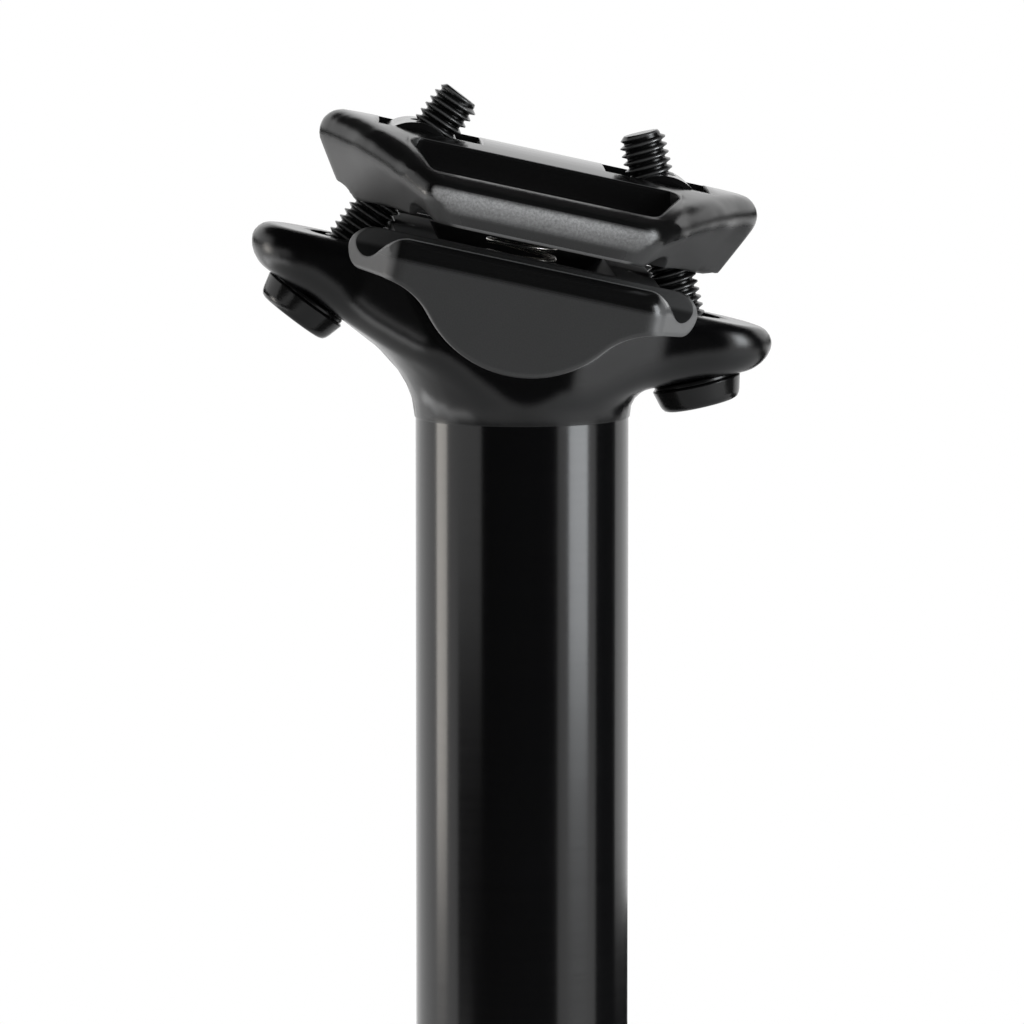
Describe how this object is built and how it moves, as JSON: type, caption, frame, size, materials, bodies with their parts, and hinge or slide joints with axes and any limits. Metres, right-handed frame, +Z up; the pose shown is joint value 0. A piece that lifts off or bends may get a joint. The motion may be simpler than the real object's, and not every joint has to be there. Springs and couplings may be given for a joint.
{
  "type": "bicycle seatpost",
  "caption": "Black bicycle seatpost: a round tube flaring into a forged head, with a tilting saddle-rail clamp held by splayed bolts in barrel nuts and opened by a coil spring.",
  "frame": {"origin": "centre of the tube's lower end", "axes": "+Z up the tube towards the clamp, +X towards the front of the bicycle, +Y towards its left side"},
  "size_m": [0.0663, 0.056, 0.3706],
  "materials": {
    "post_black": "gloss black anodised",
    "clamp_black": "gloss black anodised over blasted metal",
    "black_oxide": "black oxide",
    "spring_steel": "bright drawn wire"
  },
  "bodies": {
    "post": {"post": "post_black", "rear_washer": "black_oxide", "front_washer": "black_oxide"},
    "cradle": {"lower_cradle": "clamp_black", "spring": "spring_steel"},
    "clamp": {"upper_clamp": "clamp_black"},
    "rear_bolt": {"rear_bolt": "black_oxide"},
    "front_bolt": {"front_bolt": "black_oxide"},
    "rear_nut": {"rear_barrel_nut": "black_oxide"},
    "front_nut": {"front_barrel_nut": "black_oxide"}
  },
  "joints": [
    {"name": "cradle_tilt", "type": "hinge", "parent": "post", "child": "cradle", "pos_m": [0, 0, 0.35], "axis": [0, 1, 0], "range_deg": [-8, 8]},
    {"name": "clamp_press", "type": "slide", "parent": "cradle", "child": "clamp", "axis": [0.213, 0, 0.977], "range_m": [-0.001, 0], "stiffness_N_per_m": 2000, "springref_m": 0.002, "deforming": ["spring"]},
    {"name": "rear_bolt_turn", "type": "hinge", "parent": "post", "child": "rear_bolt", "pos_m": [-0.0142, 0, 0.36082], "axis": [0.606, 0, 0.7955], "continuous": true},
    {"name": "front_bolt_turn", "type": "hinge", "parent": "post", "child": "front_bolt", "pos_m": [0.01741, 0, 0.35392], "axis": [-0.2198, 0, 0.9755], "continuous": true},
    {"name": "rear_nut_swivel", "type": "hinge", "parent": "cradle", "child": "rear_nut", "pos_m": [-0.0142, 0, 0.36082], "axis": [0, 1, 0], "range_deg": [-8.5, 8.5]},
    {"name": "front_nut_swivel", "type": "hinge", "parent": "cradle", "child": "front_nut", "pos_m": [0.01741, 0, 0.35392], "axis": [0, 1, 0], "range_deg": [-8.5, 8.5]}
  ],
  "couplings": [
    {"joint": "rear_nut_swivel", "follows": "cradle_tilt", "ratio": -1},
    {"joint": "front_nut_swivel", "follows": "cradle_tilt", "ratio": -1}
  ]
}
